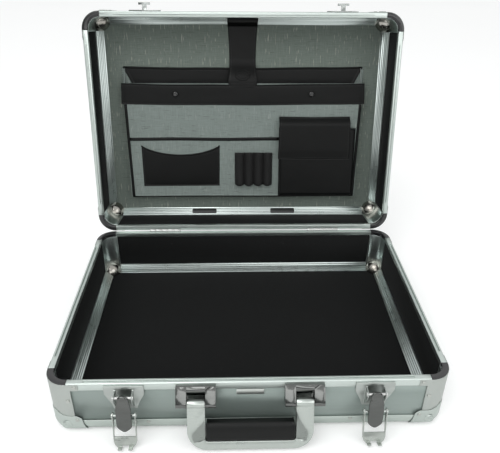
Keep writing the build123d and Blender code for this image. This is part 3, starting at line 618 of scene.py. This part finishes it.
# the panel of the file pocket, with the smaller pockets on it
panel_face = swell(-184, 184, 41, 221, 19.3, 0.35, 0.18)
panel = cloth("pocket_panel", "linen", edge(-180, 41, 180, 41), edge(-184, 222, 184, 222), level(18.3),
    panel_face, 72, 40)
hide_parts("file_pocket_front")

# the black back of the file pocket: its top edge sags and its ends slope in behind the band
back_face = swell(-188, 188, 200, 247, 7.9, 0.5, 0.25, 1.0)
back = cloth("pocket_back", "leatherette", edge(-160, 200, 160, 200), edge(-184, 245.5, 184, 245.5, 1.8,
    0.6), level(6.5), back_face, 72, 12)
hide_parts("file_pocket_back")
cord_along("pocket_back_hem", [(x, a - 0.6, 7.9) for x, a in (edge(-184, 245.5, 184, 245.5, 1.8,
    0.6)(k / 40) for k in range(41))], 1.3, "leatherette")
stitched("pocket_back_stitches", [(x, a - 3.6) for x, a in (edge(-181, 245.5, 181, 245.5, 1.8,
    0.6)(k / 12) for k in range(13))], lambda x, a: back_face(x, a) + 0.05)
for side, name in ((-1, "left"), (1, "right")):
    gusset_low = edge(side * 186, 199, side * 160, 199)
    gusset_high = edge(side * 187, 244, side * 184.5, 244)
    if side > 0:
        gusset_low = edge(160, 199, 186, 199)
        gusset_high = edge(184.5, 244, 187, 244)
    cloth("gusset_" + name, "linen", gusset_low, gusset_high, level(6.5), lambda x, a: 7.4 + max(0.0,
        (232 - a) * 0.12), 8, 16)
    stitched("gusset_stitches_" + name, [(side * 186.4, 243), (side * 185.0, 201)], lambda x,
        a: 7.5 + max(0.0, (232 - a) * 0.12), length=1.2, gap=1.6, thick=0.6)
    cord_along("gusset_fold_" + name, [(side * (184 - 24 * t), 245 - 45 * t,
        8.0 + 4 * t) for t in (k / 10 for k in range(11))], 0.9, "leatherette")

# the leathercloth band along the pocket's mouth
band_face = swell(-189, 189, 190, 222, 20.7, 0.3, 0.16, 2.0)
band_low = edge(-188.5, 190.5, 188.5, 190.5, 1.6, 0.5)
band_high = edge(-187, 222, 187, 222, 2.0, 0.7)
band = cloth("pocket_band", "leatherette", band_low, band_high, level(19.4), band_face, 90, 12, hem=0.9)
stitched("band_stitches_low", [(x, a + 2.4) for x, a in (edge(-186, 190.5, 186, 190.5, 1.6,
    0.5)(k / 14) for k in range(15))], lambda x, a: band_face(x, a) + 0.02)
stitched("band_stitches_high", [(x, a - 2.6) for x, a in (edge(-185, 222, 185, 222, 2.0,
    0.7)(k / 14) for k in range(15))], lambda x, a: band_face(x, a) + 0.02)
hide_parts("pocket_binding")
cord_along("piping_left", run(-182.5, 190, -178.5, 41, 19.9, wander=0.5), 2.1, "leatherette")
cord_along("piping_right", run(182.5, 190, 178.5, 41, 19.9, wander=0.5, phase=2), 2.1, "leatherette")
cord_along("piping_foot", run(-178.5, 41.5, 178.5, 41.5, 19.3, wander=0.4), 1.0, "leatherette", flatten=0.5)
cord_along("lower_binding", run(-180.5, 135.8, 57, 136.2, 19.9, 40, 0.6), 2.5, "leatherette", flatten=0.4)
stitched("lower_binding_stitches", [(-178, 135.9), (-100, 135.9), (-20, 136), (55, 136.1)], level(20.85))

# card pocket with a scooped mouth
card_face = swell(-162, -38, 59, 126, 20.1, 0.9, 0.12, 0.6)


def card_mouth(t):
    x = -162 + 124 * t
    scoop = 15 * (1 - (2 * t - 1) ** 2) ** 0.8
    return x, 126 - scoop


card = cloth("card_pocket_cloth", "leatherette", edge(-161, 59, -39, 59.5), card_mouth, level(19.5),
    card_face, 48, 18)
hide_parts("card_pocket")
cord_along("card_mouth_hem", [(x, a - 0.8, card_face(x, a) + 0.1) for x,
    a in (card_mouth(k / 40) for k in range(41))], 1.2, "leatherette", flatten=0.5)
stitched("card_stitches", [(-159.5, 123), (-159, 61.5), (-41, 61.5), (-40.5, 123)], lambda x,
    a: card_face(x, a) + 0.02)

# pen loops: four soft tunnels of elastic
vertices, faces = [], []
loop_columns, loop_rows = 64, 14
for j in range(loop_rows + 1):
    for i in range(loop_columns + 1):
        t, s = i / loop_columns, j / loop_rows
        crest = abs(math.sin(4 * math.pi * t))
        flare = 1 + 0.12 * (2 * s - 1) ** 2
        along = 62 + 52 * s + (s - 0.5) * 3.2 * crest
        vertices.append(at_lid(-14 + 60 * t, along, 19.6 + 7.4 * crest ** 0.65 * flare))
for j in range(loop_rows):
    for i in range(loop_columns):
        a = j * (loop_columns + 1) + i
        faces.append((a, a + 1, a + loop_columns + 2, a + loop_columns + 1))
loops = add_piece("pen_loop_elastic", vertices, faces, "elastic", "lid")
wall = loops.modifiers.new("cloth_thickness", "SOLIDIFY")
wall.thickness = 0.9 * mm
wall.offset = -1
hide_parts("pen_loops")
for k in range(5):
    stitched("loop_stitches_%d" % k, [(-14 + 15 * k, 64), (-14 + 15 * k, 112)], level(20.4), length=1.8,
        gap=0.9)


# telephone pocket: a deep soft box with its flap
def phone_front(x, along):
    t = (x - 56) / 122
    s = (along - 42) / 112
    side = ease(t / 0.025) * ease((1 - t) / 0.025) * ease(s / 0.035)
    wave = math.sin(5 * t + 2 * s) + 0.5 * math.sin(11 * t + 3)
    return 20.0 + side * (7.6 + 0.3 * wave)


phone = cloth("phone_pocket_cloth", "leatherette", edge(56.5, 42, 177.5, 42), edge(56, 154, 178, 153,
    1.0), level(19.5), phone_front, 60, 44)
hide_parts("phone_pocket")
stitched("phone_stitches", [(58, 150), (58, 44), (176, 44), (176, 150)], lambda x, a: phone_front(x, a) + 0.1)


def flap_out(x, along):
    t = (x - 55) / 113
    s = (171 - along) / 66
    drop = ease((s + 0.04) / 0.22)
    wave = 0.3 * math.sin(5.5 * t + 1) * s
    return 21.4 + 9.0 * drop + wave - 0.9 * ease((s - 0.75) / 0.25)


def flap_high(t):
    return 56 + 111 * t, 171.5 - 1.5 * (1 - abs(2 * t - 1)) * 0.6


flap = cloth("phone_flap_cloth", "leatherette", edge(54.5, 105.5, 168.5, 104, 0.8), flap_high, lambda x,
    a: flap_out(x, a) - 0.9, flap_out, 48, 30, body="pocket_flap", hem=0.7)
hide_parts("phone_pocket_flap")
stitched("flap_stitches", [(58.5, 166), (57, 108), (166, 107), (164.5, 166)], lambda x, a: flap_out(x,
    a) + 0.04, body="pocket_flap")
stitched("flap_root_stitches", [(58.5, 168.6), (164.5, 168.6)], lambda x, a: flap_out(x, a) + 0.04,
    body="pocket_flap")

# strap: from the rim over the trim and the fabric to a rounded end on the band
strap_middle = -1.5


def strap_half(along):
    u = (305 - along) / 89
    return 22.3 - 2.2 * math.sin(math.pi * min(1.0, max(0.0, u * 0.95))) + 1.2 * ease((u - 0.6) / 0.4)


def strap_out(x, along):
    over_pocket = 13.4 * ease((258 - along) / 34)
    wave = 0.25 * math.sin(along / 11.0 + x / 14.0)
    return 7.9 + over_pocket + wave


vertices, faces = [], []
columns, rows = 22, 60
for face in (-1.1, 0.0):
    for j in range(rows + 1):
        for i in range(columns + 1):
            t, s = i / columns * 2 - 1, j / rows
            along = 305 - 89 * s
            tip = max(0.0, (along - 216) / 14)
            narrow = 1.0 if tip >= 1 else (1 - (1 - tip) ** 3) ** 0.5 if tip > 0 else 0.0
            half = strap_half(along) * (0.72 + 0.28 * narrow)
            bow = -0.5 * ease((abs(t) - 0.86) / 0.14) if face == 0.0 else 0.0
            vertices.append(at_lid(strap_middle + t * half, along, strap_out(t * half, along) + face + bow))
stride = columns + 1
count = stride * (rows + 1)
for j in range(rows):
    for i in range(columns):
        a = j * stride + i
        quad = (a, a + 1, a + stride + 1, a + stride)
        faces.append(quad)
        faces.append(tuple(v + count for v in quad[::-1]))
rim = list(range(columns)) + [j * stride + columns for j in range(rows)]
rim += [rows * stride + i for i in range(columns, 0, -1)] + [j * stride for j in range(rows, 0, -1)]
for k, a in enumerate(rim):
    b = rim[(k + 1) % len(rim)]
    faces.append((a, b, b + count, a + count))
strap = add_piece("strap_leathercloth", vertices, faces, "leatherette", "strap")
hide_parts("organizer_strap")
for side in (-1, 1):
    seam = [(strap_middle + side * (strap_half(a) - 2.6), a) for a in range(302, 224, -6)]
    stitched("strap_stitches_%s" % ("left" if side < 0 else "right"), seam, lambda x, a: strap_out(x,
        a) + 0.05, body="strap")
stitched("strap_end_stitches", [(-19, 221.5), (16, 221.5)], lambda x, a: strap_out(x, a) + 0.05, body="strap")
oval = [(strap_middle + 11 * math.cos(k * math.pi / 20),
    234 + 7.5 * math.sin(k * math.pi / 20)) for k in range(41)]
cord_along("strap_oval", [(x, a, strap_out(x, a) + 0.1) for x, a in oval], 0.9, "leatherette",
    body="strap", flatten=0.7)
inner = [(strap_middle + 7.6 * math.cos(k * math.pi / 16),
    234 + 4.4 * math.sin(k * math.pi / 16)) for k in range(33)]
cord_along("strap_oval_inner", [(x, a, strap_out(x, a) + 0.05) for x, a in inner], 0.6, "leatherette",
    body="strap", flatten=0.6)
root = cloth("strap_root", "leatherette", edge(-24, 303.5, 21, 303.5), edge(-24.5, 316.4, 21.5, 316.4),
    lambda x, a: 7.0 + 12.2 * ease((a - 303.5) / 7.0), lambda x, a: 8.2 + 12.2 * ease((a - 303.5) / 7.0),
    16, 14)


# ---------------------------------------------------------------- hardware

nodes_look = {
    "handle_frame": ("satin_silver", lambda: drawn_aluminium("satin_silver", (0.50, 0.54, 0.51), 0.30,
        False, 0.04)),
    # the brackets are mirror chrome with the base colour lowered to 0.16: a painted dark reflection
    "handle_brackets": ("dark_mirror", lambda: polished("dark_mirror", (0.16, 0.165, 0.16), 0.06)),
    "latch_plates": ("plate_silver", lambda: polished("plate_silver", (0.44, 0.47, 0.45), 0.26)),
    "left_latch_hasp": ("tongue_silver", lambda: polished("tongue_silver", (0.46, 0.49, 0.46), 0.24)),
    "lid_catches": ("catch_silver", lambda: polished("catch_silver", (0.34, 0.36, 0.35), 0.16)),
}
nodes_look["nameplate"] = ("plate_bright", lambda: polished("plate_bright", (0.62, 0.65, 0.62), 0.3))
nodes_look["right_latch_hasp"] = nodes_look["left_latch_hasp"]
made = {}
for node, (name, maker) in nodes_look.items():
    if name not in made:
        made[name] = maker()
    nodes[node].data.materials.clear()
    nodes[node].data.materials.append(made[name])


def dome(name, centre, normal, radius, height, slot_name, body, dimple=0.0, rings=8, segments=28,
    finish_name=None):
    """A round raised boss or button on a face, with an optional dimple in its top."""
    normal = Vector(normal).normalized()
    side = normal.orthogonal().normalized()
    other = normal.cross(side)
    vertices = [Vector(centre) + normal * (height - dimple)]
    faces = []
    for ring in range(1, rings + 1):
        u = ring / rings
        lift = height * (1 - u ** 3.2) ** 0.6 - dimple * (1 - ease(u / 0.62))
        for k in range(segments):
            angle = 2 * math.pi * k / segments
            vertices.append(Vector(centre) + normal * lift + (side * math.cos(angle) + other * math.sin(angle)) * radius * u)
    for k in range(segments):
        faces.append((0, 1 + k, 1 + (k + 1) % segments))
    for ring in range(rings - 1):
        for k in range(segments):
            a = 1 + ring * segments + k
            b = 1 + ring * segments + (k + 1) % segments
            faces.append((a, a + segments, b + segments, b))
    return add_piece(name, vertices, faces, slot_name, body, finish_name)


# raised dimpled bosses on the corner caps, front and rear
case_half = 0.2275
boss_inset = 0.0195
boss_height = 0.0128
boss_radius = 0.0058
boss_rise = 0.0013
boss_dimple = 0.0008
outer_face = 0.1631
for sx, left_right in ((-1, "left"), (1, "right")):
    place = (sx * (case_half - boss_inset), -outer_face, boss_height)
    dome("cap_boss_front_" + left_right, place, (0, -1, 0), boss_radius, boss_rise, "cap_metal", "base",
        boss_dimple)
    place = (sx * (case_half - boss_inset), outer_face, boss_height)
    dome("cap_boss_rear_" + left_right, place, (0, 1, 0), boss_radius, boss_rise, "cap_metal", "base",
        boss_dimple)
    for lid_side, along in (("front", 325.6), ("rear", -0.6)):
        centre = at_lid(sx * 208, along, 12.8)
        normal = at_lid(sx * 208, along + (5 if along > 0 else -5), 12.8) - centre
        dome("lid_cap_boss_%s_%s" % (lid_side, left_right), centre, normal, boss_radius, boss_rise,
            "cap_metal", "lid", boss_dimple)

# the two press studs of the band: a cap and a ring
for x, left_right in ((-105, "left"), (105, "right")):
    centre = at_lid(x, 206, band_face(x, 206) + 0.1)
    normal = at_lid(x, 206, 30) - centre
    stud = dome("press_stud_" + left_right, centre, normal, 0.0042, 0.0019, "rivet_metal", "lid", 0.0005,
        finish_name="stud_black")
    ring = [(x + 5.4 * math.cos(k * math.pi / 12), 206 + 5.4 * math.sin(k * math.pi / 12)) for k in range(25)]
    cord_along("stud_ring_" + left_right, [(a, b, band_face(a, b) + 0.05) for a, b in ring], 0.6,
        "leatherette", flatten=0.5)
    if x < 0:
        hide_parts("pocket_snaps")


def shut_to_rest(place, pivot_point, angle):
    return pivot_point + Matrix.Rotation(math.radians(angle), 3, (-1, 0, 0)) @ (place - pivot_point)


def build_lever(side, x):
    """A bulbous mirror-bright lever, its chrome darkened by a painted dark reflection in the base colour: narrow
    at its hub, wide below, with a thin turned-in tip and a slot.
    """
    pivot_point = Vector(joints[side + "_lever_hinge"]["pos_m"])
    vertices, faces = [], []
    ring, steps = 28, 44
    for j in range(steps + 1):
        s = j / steps
        z = 66.2 - 45.0 * s
        wide = 5.6 + 2.9 * ease(s / 0.4)
        wide *= max(0.05, 1 - max(0.0, (s - 0.80) / 0.20) ** 2.6 * 0.75)
        wide *= 0.6 + 0.4 * ease(s / 0.05)
        outer = 11.6 + 2.3 * math.sin(math.pi * min(1.0, s * 1.05)) ** 1.3 + 0.7 * ease((0.16 - s) / 0.1)
        inner = 9.2 + 0.2 * s
        for k in range(ring):
            angle = 2 * math.pi * k / ring
            c, d = math.cos(angle), math.sin(angle)
            px = math.copysign(abs(c) ** 0.8, c) * wide
            lift = (outer - inner) / 2
            py = (outer + inner) / 2 + math.copysign(abs(d) ** 0.75, d) * lift
            groove = 0.35 * ease(1 - abs(px) / 1.6) if d > 0.5 and 0.84 < s < 0.94 else 0.0
            place = Vector((x + px * mm, -0.1625 - (py - groove) * mm, z * mm))
            vertices.append(shut_to_rest(place, pivot_point, 12))
    for j in range(steps):
        for k in range(ring):
            a = j * ring + k
            b = j * ring + (k + 1) % ring
            faces.append((a, a + ring, b + ring, b))
    faces.append(tuple(range(ring)))
    faces.append(tuple(range(steps * ring, (steps + 1) * ring))[::-1])
    # the dark_chrome finish paints the lever's dark reflection into its base colour
    lever = add_piece(side + "_lever_tongue", vertices, faces, "dark_chrome", side + "_lever")
    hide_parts(side + "_latch_lever")


build_lever("left", joints["left_lever_hinge"]["pos_m"][0])
build_lever("right", joints["right_lever_hinge"]["pos_m"][0])


# soft grip, stepped in at its lower half, with a small flange at each end
grip_low, grip_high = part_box("handle_grip")
handle_turn = math.radians(-joints["handle_hinge"]["range_deg"][0])
pivot = Vector(joints["handle_hinge"]["pos_m"])
turn = Matrix.Rotation(handle_turn, 3, (-1, 0, 0))
grip_middle = Vector([(a + b) / 2 for a, b in zip(grip_low, grip_high)])
unturned = pivot + turn.inverted() @ (grip_middle - pivot)
grip_half_length, grip_half_high, grip_half_thick = 0.0495, 0.0120, 0.0075
vertices, faces = [], []
ring, steps = 40, 88
for j in range(steps + 1):
    t = j / steps
    x = (2 * t - 1) * grip_half_length
    from_end = min(t, 1 - t) * 2 * grip_half_length
    flange = 1.0 - 0.10 * ease((from_end - 0.0022) / 0.0006)
    end_round = 1 - 0.5 * (1 - min(1.0, from_end / 0.0012)) ** 2
    for k in range(ring):
        angle = 2 * math.pi * k / ring
        c, s = math.cos(angle), math.sin(angle)
        power = 0.55
        y = math.copysign(abs(c) ** power, c) * grip_half_thick
        z = math.copysign(abs(s) ** power, s) * grip_half_high
        step_in = 1.0 if z > -0.0015 else 0.86
        place = Vector((x, y * flange * step_in * end_round,
            z * (0.985 if flange < 0.95 else 1.0) * end_round)) + Vector((0, unturned.y, unturned.z))
        vertices.append(pivot + turn @ (place - pivot))
for j in range(steps):
    for k in range(ring):
        a = j * ring + k
        b = j * ring + (k + 1) % ring
        faces.append((a, b, b + ring, a + ring))
faces.append(tuple(range(ring))[::-1])
faces.append(tuple(range(steps * ring, (steps + 1) * ring)))
grip = add_piece("rubber_grip", vertices, faces, "grip_rubber", "handle")
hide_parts("handle_grip")


# ---------------------------------------------------------------- floor and studio


def build_floor():
    bpy.ops.mesh.primitive_plane_add(size=8, location=(0, 0, 0))
    floor = bpy.context.active_object
    floor.name = "studio_floor"
    finish = Finish("studio_floor")
    where = finish.node("TexCoord", out=3)
    mottle = finish.noise(where, 3.0, 3.0, 0.5)
    tone = finish.mix(mottle, (0.88, 0.88, 0.88), (0.90, 0.90, 0.90))
    seen = finish.node("LightPath", out=0)
    glow = finish.mix(seen, (0, 0, 0), (0.16, 0.16, 0.16))
    finish.set(Base_Color=tone, Roughness=0.8, Emission_Color=glow, Emission_Strength=1.0)
    floor.data.materials.append(finish.material)


def build_world():
    """A pale studio: white behind, softer grey towards the horizon in what metal mirrors."""
    world = bpy.data.worlds.new("studio")
    bpy.context.scene.world = world
    world.use_nodes = True
    sky = Finish("studio", world.node_tree)
    background = world.node_tree.nodes["Background"]
    direction = sky.node("TexCoord", out=0)
    x, y, z = sky.axes(direction)
    stops = [(0.0, (0.12, 0.13, 0.13)), (0.50, (0.13, 0.14, 0.14)), (0.62, (0.45, 0.47, 0.46)), (0.78,
        (1.0, 1.0, 1.0)), (1.0, (0.85, 0.87, 0.87))]
    studio = sky.node("ValToRGB", {"stops": stops}, {0: z * 0.5 + 0.5})
    seen = sky.node("LightPath", out=0)
    colour = sky.mix(seen, studio, (1.0, 1.0, 1.0))
    sky.join(colour, background.inputs[0])
    background.inputs[1].default_value = 1.0


build_floor()
build_world()
area_light("key_light", (-0.9, -1.1, 1.9), (0, 0.0, 0.1), (1.6, 1.2), 17)
area_light("fill_light", (1.4, -1.3, 1.1), (0, 0.0, 0.1), (1.2, 1.2), 7)
area_light("front_light", (0.0, -2.2, 0.9), (0, 0.0, 0.15), (2.0, 0.8), 8)

bpy.context.scene.view_settings.view_transform = "Standard"
